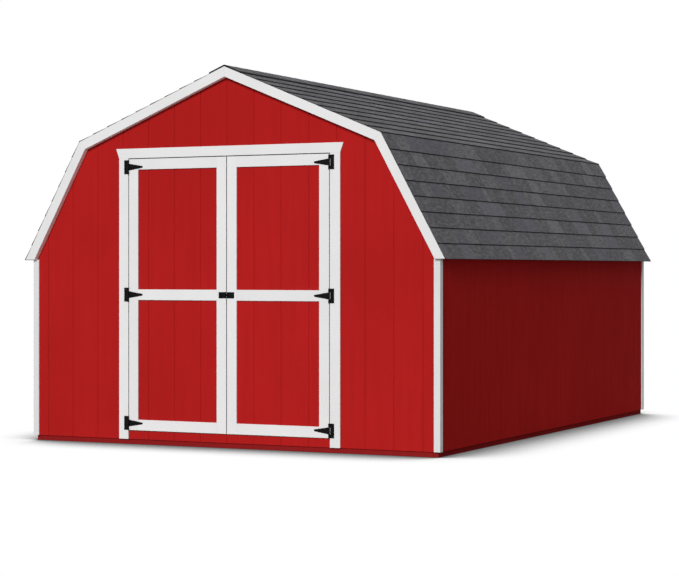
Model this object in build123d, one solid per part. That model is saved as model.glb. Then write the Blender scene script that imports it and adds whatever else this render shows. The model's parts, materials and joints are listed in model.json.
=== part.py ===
from build123d import *
import math
import os

# Barn shed with a gambrel roof and a pair of outward doors, in millimetres.
# X runs along the door front, Y from the front to the back, Z up from the ground.
# The origin is on the ground, under the middle of the footprint.

# Framing plan
frame_width = 3048.0
frame_length = 4267.2
siding_thickness = 10.0
trim_thickness = 10.0

# Timber sections
timber_thickness = 38.0
timber_depth = 89.0
floor_deck_thickness = 16.0
stud_spacing = 609.6

# Side walls
siding_foot = 36.0
side_wall_height = 1225.5

# Roof line over the shingles: level eaves, knees and ridge
eave_overhang = 63.0
knee_inset = 449.0
knee_rise = 816.0
ridge_rise = 474.0

# Roof layers, measured square to each slope
shingle_thickness = 6.0
roof_deck_thickness = 11.0
ridge_cap_thickness = 4.0
ridge_cap_leg = 125.0
ridge_gap = 6.0
roof_overhang = 42.0
rake_thickness = 40.0
rake_width = 64.0

# Trusses
truss_count = 8
gusset_thickness = 11.0
gusset_leg = 230.0

# Doorway and doors
door_edge = 761.0
door_bottom = 97.5
door_head_drop = 132.0
door_gap = 6.0
seam_gap = 7.0
door_board_width = 72.0
ledge_thickness = 38.0
ledge_inset = 12.0
ledge_lift = 12.0

# Boards round the doorway and at the corners
jamb_board_width = 73.0
header_board_height = 66.0
header_board_flare = 24.0
corner_board_width = 44.0

# Strap hinges
low_hinge_lift = 48.0
high_hinge_drop = 54.0
hinge_leaf_thickness = 2.5
hinge_barrel_radius = 5.5
hinge_axis_stand = 6.5
hinge_pin_radius = 2.6
hinge_pin_clearance = 0.2
hinge_plate_width = 34.0
hinge_plate_height = 95.0
strap_length = 112.0
strap_root_height = 47.0
strap_tip_radius = 6.5
knuckle_gap = 0.6
knuckle_notch_clearance = 2.0

# Slide bolt, in halves on the two doors
latch_length = 117.0
latch_height = 41.0
latch_plate_thickness = 2.5
latch_bar_radius = 4.0
latch_bar_stand = 4.6
latch_bar_end = 7.0
latch_guide_width = 9.0
latch_guide_height = 20.0
latch_guide_wall = 1.5
latch_knob_radius = 3.5

# Values that follow from the sizes above
frame_half_width = frame_width / 2
frame_half_length = frame_length / 2
outer_half_width = frame_half_width + siding_thickness
wall_top = siding_foot + side_wall_height
eave_half_width = outer_half_width + eave_overhang
eave_height = wall_top
knee_half_width = eave_half_width - knee_inset
knee_height = eave_height + knee_rise
peak_height = knee_height + ridge_rise
outer_half_length = frame_half_length + siding_thickness
trim_face = outer_half_length + trim_thickness
rake_face = outer_half_length + rake_thickness
roof_half_length = outer_half_length + roof_overhang
inner_half_width = frame_half_width - timber_depth
inner_half_length = frame_half_length - timber_depth
roof_deck_y = (-outer_half_length, outer_half_length)
roof_y = (-roof_half_length, roof_half_length)
side_wall_x = (inner_half_width, frame_half_width)
whole_frame_y = (-frame_half_length, frame_half_length)
front_wall_y = (-frame_half_length, -inner_half_length)
back_wall_y = (inner_half_length, frame_half_length)
front_siding_y = (-outer_half_length, -frame_half_length)
front_trim_y = (-trim_face, -outer_half_length)
back_trim_y = (outer_half_length, trim_face)
rake_ends_y = ((-rake_face, -outer_half_length), (outer_half_length, rake_face))
floor_top = timber_depth + floor_deck_thickness
stud_foot = floor_top + timber_thickness
stud_top = wall_top - timber_thickness
foot_plate_z = (floor_top, stud_foot)
stud_z = (stud_foot, stud_top)
top_plate_z = (stud_top, wall_top)
door_top = knee_height - door_head_drop
middle_rail_height = (door_bottom + door_top) / 2
opening_half_width = door_edge + door_gap
opening_top = door_top + door_gap
sill_top = door_bottom - door_gap
seam_edge = seam_gap / 2
king_inner = opening_half_width + timber_thickness
king_outer = king_inner + timber_thickness
header_beam_top = opening_top + timber_depth
hinge_x = door_edge + door_gap / 2
hinge_y = -(trim_face + hinge_axis_stand)
hinge_leaf_y = (-trim_face - hinge_leaf_thickness, -trim_face)
latch_plate_face = -trim_face - latch_plate_thickness
hinge_heights = (door_bottom + low_hinge_lift, middle_rail_height, door_top - high_hinge_drop)

# Depths of the roof layers under the shingle tops
under_shingles = shingle_thickness
under_roof_deck = under_shingles + roof_deck_thickness
under_rafters = under_roof_deck + timber_depth

lower_pitch = math.atan2(knee_rise, knee_inset)
upper_pitch = math.atan2(ridge_rise, knee_half_width)


def slope_edge_x(depth, height):
    """Half width of the lower slope at a height, under the shingles by a depth."""
    edge = eave_half_width - depth / math.sin(lower_pitch)
    return edge - (height - eave_height) / math.tan(lower_pitch)


def slope_edge_z(depth, x):
    """Height of the upper slope at a distance from the middle, under the shingles by a depth."""
    return peak_height - depth / math.cos(upper_pitch) - x * math.tan(upper_pitch)


def knee_point(depth):
    """Where the two slopes meet, under the shingles by a depth."""
    lower_slope = math.tan(lower_pitch)
    upper_slope = math.tan(upper_pitch)
    reach = slope_edge_x(depth, eave_height) - (slope_edge_z(depth, 0) - eave_height) / lower_slope
    x = reach / (1 - upper_slope / lower_slope)
    return (x, slope_edge_z(depth, x))


def lower_slope_height(depth, x):
    """Height of the lower slope at a distance from the middle, under the shingles by a depth."""
    return eave_height + (slope_edge_x(depth, eave_height) - x) * math.tan(lower_pitch)


def box_between(x_range, y_range, z_range):
    """Solid box that fills three ranges."""
    ranges = (x_range, y_range, z_range)
    size = [high - low for low, high in ranges]
    middle = [(low + high) / 2 for low, high in ranges]
    return Pos(*middle) * Box(*size)


def side_box(side, reach, y_range, z_range):
    """Solid box on one side, its X range given as distances from the middle."""
    return box_between(sorted(side * x for x in reach), y_range, z_range)


def centred(middle, width):
    """Range of a width about its middle."""
    return (middle - width / 2, middle + width / 2)


def slab(outline, y_range, side=1):
    """Solid with an outline of X and Z points, run along a Y range; side -1 mirrors it in X."""
    low, high = y_range
    points = [Vector(side * x, low, z) for x, z in outline]
    face = Face(Wire.make_polygon(points, close=True))
    return extrude(face, amount=high - low, dir=(0, 1, 0))


def upright_cylinder(radius, x, y, z_low, z_high):
    """Round bar standing along Z."""
    return Pos(x, y, (z_low + z_high) / 2) * Cylinder(radius, z_high - z_low)


def lower_band(top_depth, bottom_depth):
    """Outline of a layer of the lower slope, cut level at the eave and mitred at the knee."""
    return [
        (slope_edge_x(top_depth, eave_height), eave_height),
        knee_point(top_depth),
        knee_point(bottom_depth),
        (slope_edge_x(bottom_depth, eave_height), eave_height),
    ]


def upper_band(top_depth, bottom_depth, middle_gap=0.0):
    """Outline of a layer of the upper slope, mitred at the knee and cut plumb near the ridge."""
    start = middle_gap / 2
    return [
        knee_point(top_depth),
        (start, slope_edge_z(top_depth, start)),
        (start, slope_edge_z(bottom_depth, start)),
        knee_point(bottom_depth),
    ]


def gable_outline(depth, foot, half_width):
    """Points of the gambrel outline down to a foot, with walls at a half width."""
    knee_x, knee_z = knee_point(depth)
    return [
        (-half_width, foot),
        (half_width, foot),
        (half_width, lower_slope_height(depth, half_width)),
        (knee_x, knee_z),
        (0, slope_edge_z(depth, 0)),
        (-knee_x, knee_z),
        (-half_width, lower_slope_height(depth, half_width)),
    ]


def truss_places():
    """Middle of each truss along the length, gable trusses first and last."""
    first = timber_thickness / 2 - frame_half_length
    pitch = -2 * first / (truss_count - 1)
    return [first + index * pitch for index in range(truss_count)]


def truss_ranges():
    """Y range of each truss."""
    return [centred(y, timber_thickness) for y in truss_places()]


def floor_side_rims():
    """Rim joists along both sides, standing on the ground."""
    reach = (frame_half_width - timber_thickness, frame_half_width)
    return [side_box(side, reach, whole_frame_y, (0, timber_depth)) for side in (-1, 1)]


def floor_joists():
    """Joists across the floor between the side rims, the end ones closing the frame."""
    reach = centred(0, frame_width - 2 * timber_thickness)
    return [box_between(reach, y_range, (0, timber_depth)) for y_range in truss_ranges()]


def floor_deck():
    """Floor board on the joists."""
    return [box_between(centred(0, frame_width), whole_frame_y, (timber_depth, floor_top))]


def side_wall_plates():
    """Bottom and top plates of both side walls."""
    levels = (foot_plate_z, top_plate_z)
    return [side_box(side, side_wall_x, whole_frame_y, z_range) for side in (-1, 1) for z_range in levels]


def side_wall_studs():
    """Studs of both side walls, one under each truss."""
    return [side_box(side, side_wall_x, y_range, stud_z) for side in (-1, 1) for y_range in truss_ranges()]


def end_wall_plates():
    """Plates between the side walls: split at the doorway in front, whole at the back."""
    plates = []
    for side in (-1, 1):
        plates.append(side_box(side, (opening_half_width, inner_half_width), front_wall_y, foot_plate_z))
        plates.append(side_box(side, (king_outer, inner_half_width), front_wall_y, top_plate_z))
    for z_range in (foot_plate_z, top_plate_z):
        plates.append(box_between(centred(0, 2 * inner_half_width), back_wall_y, z_range))
    return plates


def king_stud(side):
    """Tall stud beside the doorway, cut to the rafter above it."""
    outline = [
        (king_inner, stud_foot),
        (king_outer, stud_foot),
        (king_outer, slope_edge_z(under_rafters, king_outer)),
        (king_inner, slope_edge_z(under_rafters, king_inner)),
    ]
    return slab(outline, front_wall_y, side)


def end_wall_studs():
    """Full depth studs of the front and back walls, the king studs among them."""
    corner = inner_half_width - timber_thickness / 2
    studs = [box_between(centred(0, timber_thickness), back_wall_y, stud_z)]
    for side in (-1, 1):
        studs.append(king_stud(side))
        studs.append(side_box(side, centred(stud_spacing, timber_thickness), back_wall_y, stud_z))
        for place in (2 * stud_spacing, corner):
            for y_range in (front_wall_y, back_wall_y):
                studs.append(side_box(side, centred(place, timber_thickness), y_range, stud_z))
    return studs


def door_jack_studs():
    """Studs that carry the beam over the doorway."""
    reach = (opening_half_width, king_inner)
    return [side_box(side, reach, front_wall_y, (stud_foot, opening_top)) for side in (-1, 1)]


def door_header_beam():
    """Beam over the doorway, between the king studs."""
    return [box_between(centred(0, 2 * king_inner), front_wall_y, (opening_top, header_beam_top))]


def gable_stud(x, foot, y_range):
    """Flat stud in the plane of a gable truss, cut to the rafters above it."""
    post = box_between(centred(x, timber_depth), y_range, (foot, peak_height))
    return post & slab(gable_outline(under_rafters, wall_top, inner_half_width), y_range)


def gable_studs():
    """Flat studs that back the siding over both end walls."""
    ranges = truss_ranges()
    front = ranges[0]
    back = ranges[-1]
    studs = [gable_stud(0, header_beam_top, front), gable_stud(0, wall_top, back)]
    for side in (-1, 1):
        studs.append(gable_stud(side * stud_spacing, header_beam_top, front))
        studs.append(gable_stud(side * stud_spacing, wall_top, back))
        for y_range in (front, back):
            studs.append(gable_stud(side * 2 * stud_spacing, wall_top, y_range))
    return studs


def lower_rafters():
    """Steep rafters, seated level on the side walls and cut plumb behind the siding."""
    outline = [
        (slope_edge_x(under_rafters, wall_top), wall_top),
        (frame_half_width, wall_top),
        (frame_half_width, lower_slope_height(under_roof_deck, frame_half_width)),
        knee_point(under_roof_deck),
        knee_point(under_rafters),
    ]
    return [slab(outline, y_range, side) for side in (-1, 1) for y_range in truss_ranges()]


def upper_rafters(side):
    """Shallow rafters of one side, mitred at the knee and at the ridge."""
    outline = upper_band(under_roof_deck, under_rafters)
    return [slab(outline, y_range, side) for y_range in truss_ranges()]


def knee_gusset_outline():
    """Plate over the joint of the two rafters, flush with their outer edges."""
    knee_x, knee_z = knee_point(under_roof_deck)
    down = (math.cos(lower_pitch), -math.sin(lower_pitch))
    up = (-math.cos(upper_pitch), math.sin(upper_pitch))
    lower_end = (knee_x + gusset_leg * down[0], knee_z + gusset_leg * down[1])
    upper_end = (knee_x + gusset_leg * up[0], knee_z + gusset_leg * up[1])
    lower_inner = (lower_end[0] + timber_depth * down[1], lower_end[1] - timber_depth * down[0])
    upper_inner = (upper_end[0] - timber_depth * up[1], upper_end[1] + timber_depth * up[0])
    return [(knee_x, knee_z), lower_end, lower_inner, upper_inner, upper_end]


def ridge_gusset_outline():
    """Plate over the ridge joint, flush with the rafters' top edges."""
    reach = gusset_leg * math.cos(upper_pitch)
    end_z = slope_edge_z(under_roof_deck, reach)
    inner_x = reach - timber_depth * math.sin(upper_pitch)
    inner_z = end_z - timber_depth * math.cos(upper_pitch)
    peak_z = slope_edge_z(under_roof_deck, 0)
    return [(0, peak_z), (reach, end_z), (inner_x, inner_z), (-inner_x, inner_z), (-reach, end_z)]


def gusset_faces():
    """Y range of each gusset: both faces of an inner truss, the inner face of a gable truss."""
    ranges = truss_ranges()
    before = [(low - gusset_thickness, low) for low, high in ranges[1:]]
    behind = [(high, high + gusset_thickness) for low, high in ranges[:-1]]
    return before + behind


def truss_gussets():
    """Plates over the ridge joint and the two knee joints of every truss."""
    plates = []
    for y_range in gusset_faces():
        plates.append(slab(ridge_gusset_outline(), y_range))
        for side in (-1, 1):
            plates.append(slab(knee_gusset_outline(), y_range, side))
    return plates


def front_siding(side):
    """Siding beside the doorway, up to the roof deck."""
    knee_x, knee_z = knee_point(under_roof_deck)
    outline = [
        (opening_half_width, siding_foot),
        (outer_half_width, siding_foot),
        (outer_half_width, lower_slope_height(under_roof_deck, outer_half_width)),
        (knee_x, knee_z),
        (opening_half_width, slope_edge_z(under_roof_deck, opening_half_width)),
    ]
    return [slab(outline, front_siding_y, side)]


def front_siding_middle():
    """Siding over the doorway, and the strip under it."""
    edge_z = slope_edge_z(under_roof_deck, opening_half_width)
    gable = [
        (-opening_half_width, opening_top),
        (opening_half_width, opening_top),
        (opening_half_width, edge_z),
        (0, slope_edge_z(under_roof_deck, 0)),
        (-opening_half_width, edge_z),
    ]
    strip = box_between(centred(0, 2 * opening_half_width), front_siding_y, (siding_foot, sill_top))
    return [slab(gable, front_siding_y), strip]


def back_siding():
    """Siding of the whole back gable."""
    outline = gable_outline(under_roof_deck, siding_foot, outer_half_width)
    return [slab(outline, (frame_half_length, outer_half_length))]


def side_siding(side):
    """Siding of one side wall, bevelled to the roof deck at its top."""
    outline = [
        (frame_half_width, siding_foot),
        (outer_half_width, siding_foot),
        (outer_half_width, lower_slope_height(under_roof_deck, outer_half_width)),
        (frame_half_width, lower_slope_height(under_roof_deck, frame_half_width)),
    ]
    return [slab(outline, whole_frame_y, side)]


def roof_deck_lower():
    """Boards on the steep rafters, flush with the end sidings."""
    outline = lower_band(under_shingles, under_roof_deck)
    return [slab(outline, roof_deck_y, side) for side in (-1, 1)]


def roof_deck_upper():
    """Boards on the shallow rafters, a little apart at the ridge."""
    outline = upper_band(under_shingles, under_roof_deck, ridge_gap)
    return [slab(outline, roof_deck_y, side) for side in (-1, 1)]


def shingles_lower():
    """Shingles of both steep slopes, past the rake boards at each end."""
    outline = lower_band(0, under_shingles)
    return [slab(outline, roof_y, side) for side in (-1, 1)]


def shingles_upper():
    """Shingles of both shallow slopes, a little apart under the ridge cap."""
    outline = upper_band(0, under_shingles, ridge_gap)
    return [slab(outline, roof_y, side) for side in (-1, 1)]


def ridge_cap():
    """Folded cap over the ridge."""
    edge = ridge_cap_leg * math.cos(upper_pitch)
    top = -ridge_cap_thickness
    outline = [
        (edge, slope_edge_z(0, edge)),
        (edge, slope_edge_z(top, edge)),
        (0, slope_edge_z(top, 0)),
        (-edge, slope_edge_z(top, edge)),
        (-edge, slope_edge_z(0, edge)),
        (0, slope_edge_z(0, 0)),
    ]
    return [slab(outline, roof_y)]


def rake_boards_lower():
    """Boards under the steep edges of both gables, cut level at the eave."""
    outline = lower_band(under_shingles, under_shingles + rake_width)
    return [slab(outline, y_range, side) for y_range in rake_ends_y for side in (-1, 1)]


def rake_boards_upper(side):
    """Boards under the shallow edges of one side, front and back."""
    outline = upper_band(under_shingles, under_shingles + rake_width)
    return [slab(outline, y_range, side) for y_range in rake_ends_y]


def corner_boards_ends():
    """Corner boards on the front and back sidings, up to the rake boards."""
    outer = outer_half_width + trim_thickness
    reach = (outer - corner_board_width, outer)
    z_range = (siding_foot, eave_height)
    ends = (front_trim_y, back_trim_y)
    return [side_box(side, reach, y_range, z_range) for y_range in ends for side in (-1, 1)]


def corner_boards_sides():
    """Corner boards on the side sidings, behind the edge of the end boards."""
    reach = (outer_half_width, outer_half_width + trim_thickness)
    inner_y = trim_face - corner_board_width
    ends = ((-outer_half_length, -inner_y), (inner_y, outer_half_length))
    z_range = (siding_foot, eave_height)
    return [side_box(side, reach, y_range, z_range) for y_range in ends for side in (-1, 1)]


def door_jamb_boards():
    """Boards beside the doorway, from the siding's foot to the header board."""
    reach = (opening_half_width, opening_half_width + jamb_board_width)
    return [side_box(side, reach, front_trim_y, (siding_foot, opening_top)) for side in (-1, 1)]


def door_header_board():
    """Board over the doorway, its ends flared upwards."""
    foot_half = opening_half_width + jamb_board_width
    top_half = foot_half + header_board_flare
    top = opening_top + header_board_height
    outline = [(-foot_half, opening_top), (foot_half, opening_top), (top_half, top), (-top_half, top)]
    return [slab(outline, front_trim_y)]


def hinge_plate(side, height):
    """Upright leaf on the jamb board, with its two knuckles and the pin."""
    x = side * hinge_x
    low, high = centred(height, hinge_plate_height)
    notch_low, notch_high = centred(height, strap_root_height + 2 * knuckle_gap)
    notch_outer = hinge_x + hinge_barrel_radius + knuckle_notch_clearance
    leaf = side_box(side, (hinge_x, hinge_x + hinge_plate_width), hinge_leaf_y, (low, high))
    notch = side_box(side, (hinge_x, notch_outer), hinge_leaf_y, (notch_low, notch_high))
    plate = leaf - notch
    plate += upright_cylinder(hinge_barrel_radius, x, hinge_y, notch_high, high)
    plate += upright_cylinder(hinge_barrel_radius, x, hinge_y, low, notch_low)
    plate += upright_cylinder(hinge_pin_radius, x, hinge_y, low, high)
    return plate


def hinge_plates():
    """Leaves of all six hinges on the jamb boards."""
    return [hinge_plate(side, height) for side in (-1, 1) for height in hinge_heights]


def hinge_strap(side, height):
    """Tapered strap on the door, with the knuckle that turns on the pin."""
    x = side * hinge_x
    low, high = centred(height, strap_root_height)
    tip_x = hinge_x - strap_length + strap_tip_radius
    taper = math.asin((strap_root_height / 2 - strap_tip_radius) / (hinge_x - tip_x))
    tangent_x = tip_x - strap_tip_radius * math.sin(taper)
    tangent_z = strap_tip_radius * math.cos(taper)
    outline = [
        (hinge_x, low),
        (hinge_x, high),
        (tangent_x, height + tangent_z),
        (tangent_x, height - tangent_z),
    ]
    tip = Pos(side * tip_x, sum(hinge_leaf_y) / 2, height) * Rot(90, 0, 0)
    strap = slab(outline, hinge_leaf_y, side)
    strap += tip * Cylinder(strap_tip_radius, hinge_leaf_thickness)
    strap += upright_cylinder(hinge_barrel_radius, x, hinge_y, low, high)
    return strap - upright_cylinder(hinge_pin_radius + hinge_pin_clearance, x, hinge_y, low, high)


def door_hinge_straps(side):
    """Straps of one door."""
    return [hinge_strap(side, height) for height in hinge_heights]


def door_panel(side):
    """Siding panel of one door, in the plane of the front siding."""
    return [side_box(side, (seam_edge, door_edge), front_siding_y, (door_bottom, door_top))]


def door_stiles(side):
    """Upright boards on the front of one door."""
    inner = (seam_edge, seam_edge + door_board_width)
    outer = (door_edge - door_board_width, door_edge)
    return [side_box(side, reach, front_trim_y, (door_bottom, door_top)) for reach in (inner, outer)]


def rail_middles():
    """Height of the middle of each cross board."""
    half = door_board_width / 2
    return (door_bottom + half, middle_rail_height, door_top - half)


def door_rails(side):
    """Cross boards on the front of one door, between its stiles."""
    reach = (seam_edge + door_board_width, door_edge - door_board_width)
    return [side_box(side, reach, front_trim_y, centred(z, door_board_width)) for z in rail_middles()]


def door_ledges(side):
    """Cross timbers on the back of one door, clear of the floor and of the beam."""
    reach = (seam_edge + ledge_inset, door_edge - ledge_inset)
    y_range = (-frame_half_length, ledge_thickness - frame_half_length)
    foot = floor_top + ledge_lift + timber_depth / 2
    top = door_top - ledge_lift - timber_depth / 2
    middles = (foot, middle_rail_height, top)
    return [side_box(side, reach, y_range, centred(z, timber_depth)) for z in middles]


def latch_plate(side):
    """Back plate of one half of the latch."""
    y_range = (latch_plate_face, -trim_face)
    return side_box(side, (seam_edge, latch_length / 2), y_range, centred(middle_rail_height, latch_height))


def latch_guide(middle_x):
    """Bent strap over the bolt, its corners rounded like the bend of the metal."""
    depth = latch_bar_stand + latch_bar_radius + latch_guide_wall
    size = (latch_guide_width, depth, latch_guide_height)
    strap = Pos(middle_x, latch_plate_face - depth / 2, middle_rail_height) * Box(*size)
    bends = strap.edges().filter_by(Axis.X).group_by(Axis.Y)[0]
    return fillet(bends, latch_bar_radius)


def left_latch():
    """Latch half with the bolt, its two guides and its knob."""
    inner = seam_edge + latch_guide_width / 2
    outer = latch_length / 2 - latch_bar_end - latch_guide_width / 2
    bar_length = latch_length / 2 - latch_bar_end - seam_edge
    bar_x = -(seam_edge + bar_length / 2)
    bar_y = latch_plate_face - latch_bar_stand
    bar = Pos(bar_x, bar_y, middle_rail_height) * Rot(0, 90, 0) * Cylinder(latch_bar_radius, bar_length)
    knob_length = latch_bar_radius + latch_guide_wall
    knob_y = bar_y - knob_length / 2
    knob = Pos(bar_x, knob_y, middle_rail_height) * Rot(90, 0, 0) * Cylinder(latch_knob_radius, knob_length)
    return latch_plate(-1) + bar + knob + latch_guide(-inner) + latch_guide(-outer)


def right_latch():
    """Latch half with the keeper that takes the bolt."""
    return latch_plate(1) + latch_guide(seam_edge + latch_guide_width / 2)


def write_node(name, solids):
    """Write the solids of one node to its own file."""
    shape = solids[0] if len(solids) == 1 else Compound(children=solids)
    export_step(shape, os.path.join("parts", name + ".step"))


def main():
    os.makedirs("parts", exist_ok=True)
    nodes = {
        "floor_side_rims": floor_side_rims(),
        "floor_joists": floor_joists(),
        "floor_deck": floor_deck(),
        "side_wall_plates": side_wall_plates(),
        "side_wall_studs": side_wall_studs(),
        "end_wall_plates": end_wall_plates(),
        "end_wall_studs": end_wall_studs(),
        "door_jack_studs": door_jack_studs(),
        "door_header_beam": door_header_beam(),
        "gable_studs": gable_studs(),
        "lower_rafters": lower_rafters(),
        "upper_rafters_left": upper_rafters(-1),
        "upper_rafters_right": upper_rafters(1),
        "truss_gussets": truss_gussets(),
        "front_siding_left": front_siding(-1),
        "front_siding_right": front_siding(1),
        "front_siding_middle": front_siding_middle(),
        "back_siding": back_siding(),
        "left_siding": side_siding(-1),
        "right_siding": side_siding(1),
        "roof_deck_lower": roof_deck_lower(),
        "roof_deck_upper": roof_deck_upper(),
        "shingles_lower": shingles_lower(),
        "shingles_upper": shingles_upper(),
        "ridge_cap": ridge_cap(),
        "rake_boards_lower": rake_boards_lower(),
        "rake_boards_upper_left": rake_boards_upper(-1),
        "rake_boards_upper_right": rake_boards_upper(1),
        "corner_boards_ends": corner_boards_ends(),
        "corner_boards_sides": corner_boards_sides(),
        "door_jamb_boards": door_jamb_boards(),
        "door_header_board": door_header_board(),
        "hinge_plates": hinge_plates(),
        "left_door_latch": [left_latch()],
        "right_door_latch": [right_latch()],
    }
    for side, name in ((-1, "left_door"), (1, "right_door")):
        nodes[name + "_panel"] = door_panel(side)
        nodes[name + "_stiles"] = door_stiles(side)
        nodes[name + "_rails"] = door_rails(side)
        nodes[name + "_ledges"] = door_ledges(side)
        nodes[name + "_hinge_straps"] = door_hinge_straps(side)
    for name, solids in nodes.items():
        write_node(name, solids)


main()
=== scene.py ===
"""Gambrel barn with a pair of doors: the finish of every surface, laid on the fixed frame."""

import json
import math
import random

import bmesh
import bpy
from bpy.props import FloatProperty, FloatVectorProperty, IntProperty, PointerProperty
from mathutils import Matrix, Vector


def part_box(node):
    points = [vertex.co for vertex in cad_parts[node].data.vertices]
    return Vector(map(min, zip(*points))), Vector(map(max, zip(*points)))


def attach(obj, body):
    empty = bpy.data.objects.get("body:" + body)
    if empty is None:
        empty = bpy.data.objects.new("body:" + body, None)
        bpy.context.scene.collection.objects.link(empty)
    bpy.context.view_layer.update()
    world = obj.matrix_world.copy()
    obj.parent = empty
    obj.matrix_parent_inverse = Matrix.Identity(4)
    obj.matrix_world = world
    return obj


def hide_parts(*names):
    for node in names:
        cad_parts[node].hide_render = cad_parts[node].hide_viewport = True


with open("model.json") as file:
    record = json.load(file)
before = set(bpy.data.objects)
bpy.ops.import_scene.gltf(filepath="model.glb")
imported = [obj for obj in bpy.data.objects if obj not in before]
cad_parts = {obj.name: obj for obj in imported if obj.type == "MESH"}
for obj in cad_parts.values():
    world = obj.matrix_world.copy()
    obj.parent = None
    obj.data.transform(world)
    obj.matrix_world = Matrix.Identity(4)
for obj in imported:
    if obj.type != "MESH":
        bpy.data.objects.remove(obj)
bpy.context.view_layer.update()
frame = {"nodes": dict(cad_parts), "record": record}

bl_info = {
    "name": "Gambrel barn",
    "version": (1, 0, 0),
    "blender": (4, 5, 0),
    "location": "3D View > Sidebar > Barn",
    "description": "Builds the siding, trim, roof, timber, hardware and stage of a gambrel barn",
    "category": "Object",
}

PHOTO_WIDTH = 679
PHOTO_HEIGHT = 576

STEEP_SEED = 11
SHALLOW_SEED = 31
CAP_SEED = 51
RELIEF_SEED = 5
SPARE_TABS = 3
NARROWEST_TAB = 0.003
HEAD_TAPER = 0.72

TOUCH = 1e-5
NEAR = 1e-4
FACING = 0.9
FLAT_ANGLE = math.radians(0.5)
SHARP_ANGLE = math.radians(20.0)
FRONT = Vector((0.0, -1.0, 0.0))
BACK = Vector((0.0, 1.0, 0.0))

SLOT_RED = "red_siding"
SLOT_WHITE = "white_trim"
SLOT_IRON = "black_hardware"


def linear(red, green, blue):
    """Linear colour of three sRGB values from 0 to 255."""

    def channel(value):
        share = value / 255
        return share / 12.92 if share <= 0.04045 else ((share + 0.055) / 1.055) ** 2.4

    return (channel(red), channel(green), channel(blue))


def colour_of(name, description, default):
    """A colour that a user may change."""
    limits = {"min": 0.0, "max": 1.0, "subtype": "COLOR"}
    return FloatVectorProperty(name=name, description=description, default=default, **limits)


def number_of(name, description, default, **limits):
    """A plain number that a user may change."""
    return FloatProperty(name=name, description=description, default=default, **limits)


def size_of(name, description, default):
    """A length in metres that a user may change."""
    return number_of(name, description, default, min=0.0, unit="LENGTH", precision=4)


def vector_of(name, description, default):
    """A place or a direction that a user may change."""
    return FloatVectorProperty(name=name, description=description, default=default, subtype="XYZ")


def count_of(name, description, default):
    """A whole number that a user may change."""
    return IntProperty(name=name, description=description, default=default, min=1)


class BarnSiding(bpy.types.PropertyGroup):
    groove_pitch: size_of("Groove pitch", "Distance between the grooves of the siding", 0.2032)
    groove_width: size_of("Groove width", "Width of a groove at the face", 0.010)
    groove_floor: size_of("Groove floor", "Width of a groove at its floor", 0.005)
    groove_depth: size_of("Groove depth", "Depth of a groove on the gables and doors", 0.0038)
    side_depth: size_of("Side groove depth", "Depth of a groove on the side walls", 0.0008)
    red: colour_of("Red", "Paint on the siding", linear(172, 31, 30))
    # Foot red is darker than the siding red: painted shade on the rims that sit back under the foot of the
    # siding.
    foot_shaded_red: colour_of("Foot red", "Paint on the rims under the siding", linear(138, 30, 31))
    back: colour_of("Back", "Bare back of the siding", linear(139, 104, 70))


class BarnTrim(bpy.types.PropertyGroup):
    ease: size_of("Eased edge", "Rounding of the edges of the painted boards", 0.0008)
    white: colour_of("White", "Paint on the trim boards", linear(225, 225, 225))
    corner_white: colour_of("Corner white", "Paint on the corner boards", linear(214, 215, 216))
    # Soffit white is brighter than the trim white and goes on the downward faces of the roof edge boards:
    # painted light on their shaded undersides.
    soffit_lit_white: colour_of("Soffit white", "Paint under the roof edge boards", linear(251, 250, 248))


class BarnRoof(bpy.types.PropertyGroup):
    lower_courses: count_of("Steep courses", "Courses of shingles on each steep slope", 8)
    upper_courses: count_of("Shallow courses", "Courses of shingles on each shallow slope", 10)
    top_course: number_of("Top course", "Height of the top steep course against the others", 1.1, min=1.0)
    layer: size_of("Layer", "Thickness of the shingles at the butt of a course", 0.006)
    step: size_of("Step", "Height of the butt over the course under it", 0.0050)
    tab_pitch: size_of("Tab pitch", "Mean width of a shingle tab", 0.17)
    tab_gap: size_of("Tab gap", "Open joint between two tabs", 0.0012)
    tab_jitter: number_of("Tab jitter", "Sway of a joint between two tabs, as a share of the pitch", 0.34)
    relief: size_of("Relief", "How much lower the lowest tabs lie", 0.0008)
    cap_leg: size_of("Cap leg", "Width of each leg of the ridge cap", 0.125)
    cap_exposure: size_of("Cap exposure", "Length of each ridge cap that shows", 0.145)
    cap_lap: size_of("Cap lap", "Height of each ridge cap over the next one", 0.0012)
    dark: colour_of("Dark granules", "Darkest tabs", linear(91, 91, 93))
    light: colour_of("Light granules", "Lightest tabs", linear(130, 129, 133))
    violet: colour_of("Violet granules", "Tabs of a cooler blend", linear(110, 107, 120))
    # Steep tone darkens the granule colours of the steep slopes only: painted shade for how the light falls
    # on them.
    steep_shade: number_of("Steep tone", "Lightness of the steep slopes against the shallow ones", 0.93)
    # The dark band under each butt is partly the printed shadow line of the shingles and partly painted shade
    # of the butt; the shallow band is wider, for more painted shade.
    steep_band: number_of("Steep band", "Share of a steep course where its dark band starts", 0.925)
    shallow_band: number_of("Shallow band", "Share of a shallow course where its dark band starts", 0.785)
    shadow: colour_of("Shadow band", "Dark band under each butt", linear(34, 34, 36))


class BarnTimber(bpy.types.PropertyGroup):
    ease: size_of("Eased edge", "Rounding of the edges of the timbers", 0.003)
    sheet_ease: size_of("Sheet edge", "Rounding of the edges of the roof boards and gussets", 0.0006)
    floor_ease: size_of("Floor edge", "Rounding of the edges of the floor board", 0.001)
    pale: colour_of("Pale wood", "Early wood of the timbers", linear(222, 190, 140))
    ring: colour_of("Ring wood", "Late wood of the timbers", linear(190, 146, 92))
    board: colour_of("Strand board", "Mean colour of the strand board", linear(196, 158, 104))


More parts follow.
